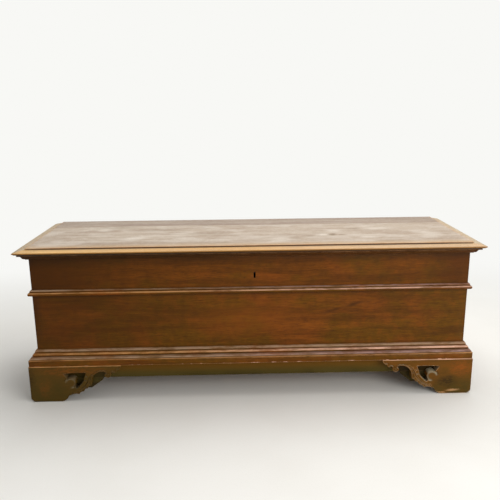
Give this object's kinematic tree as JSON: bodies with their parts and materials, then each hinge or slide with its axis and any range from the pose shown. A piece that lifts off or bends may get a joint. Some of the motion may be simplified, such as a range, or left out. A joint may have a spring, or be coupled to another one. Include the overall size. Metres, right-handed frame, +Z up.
{
  "type": "antique chest",
  "caption": "Long walnut chest with a flat hinged lid, moulded edges, an inside lock and pierced scroll-carved bracket feet.",
  "frame": {"origin": "on the floor under the middle of the lid", "axes": "+X along the length to the viewer's right, -Y the front, +Z up"},
  "size_m": [1.5, 0.476, 0.522],
  "materials": {
    "lid_top_walnut": "bleached, dry and worn",
    "body_walnut": "dark waxed",
    "moulding_walnut": "waxed with worn edges",
    "foot_walnut": "worn, scuffed at the floor",
    "plain_inner_wood": "bare, aged",
    "wrought_iron": "dark, lightly rusted"
  },
  "bodies": {
    "carcass": {"back_board": "body_walnut", "bottom_front_plank": "plain_inner_wood", "bottom_middle_plank": "plain_inner_wood", "bottom_rear_plank": "plain_inner_wood", "front_base_moulding": "moulding_walnut", "front_board": "body_walnut", "front_left_corner_block": "plain_inner_wood", "front_left_foot": "foot_walnut", "front_left_glue_block": "plain_inner_wood", "front_plinth_rail": "moulding_walnut", "front_right_corner_block": "plain_inner_wood", "front_right_foot": "foot_walnut", "front_right_glue_block": "plain_inner_wood", "front_string_moulding": "moulding_walnut", "hinge_leaf_nails": "wrought_iron", "hinge_left_leaf": "wrought_iron", "hinge_left_pin": "wrought_iron", "hinge_right_leaf": "wrought_iron", "hinge_right_pin": "wrought_iron", "left_back_foot": "foot_walnut", "left_base_moulding": "moulding_walnut", "left_end_board": "body_walnut", "left_front_side_foot": "foot_walnut", "left_plinth_rail": "moulding_walnut", "left_rear_side_foot": "foot_walnut", "left_string_moulding": "moulding_walnut", "lock_case": "wrought_iron", "lock_key_pin": "wrought_iron", "lock_nails": "wrought_iron", "lock_plate": "wrought_iron", "lock_spring": "wrought_iron", "rear_left_corner_block": "plain_inner_wood", "rear_right_corner_block": "plain_inner_wood", "right_back_foot": "foot_walnut", "right_base_moulding": "moulding_walnut", "right_end_board": "body_walnut", "right_front_side_foot": "foot_walnut", "right_plinth_rail": "moulding_walnut", "right_rear_side_foot": "foot_walnut", "right_string_moulding": "moulding_walnut"},
    "lid": {"batten_nails": "wrought_iron", "hinge_left_strap": "wrought_iron", "hinge_right_strap": "wrought_iron", "hinge_strap_nails": "wrought_iron", "lid_back_plank": "lid_top_walnut", "lid_front_moulding": "moulding_walnut", "lid_front_plank": "lid_top_walnut", "lid_left_batten": "plain_inner_wood", "lid_left_moulding": "moulding_walnut", "lid_right_batten": "plain_inner_wood", "lid_right_moulding": "moulding_walnut", "lid_staple": "wrought_iron", "staple_nails": "wrought_iron"},
    "bolt": {"lock_bolt": "wrought_iron"}
  },
  "joints": [
    {"name": "lid_hinge", "type": "hinge", "parent": "carcass", "child": "lid", "pos_m": [0, 0.2234, 0.4966], "axis": [-1, 0, 0], "range_deg": [0, 118]},
    {"name": "lock_bolt_slide", "type": "slide", "parent": "carcass", "child": "bolt", "axis": [-1, 0, 0], "range_m": [0, 0.014]}
  ]
}
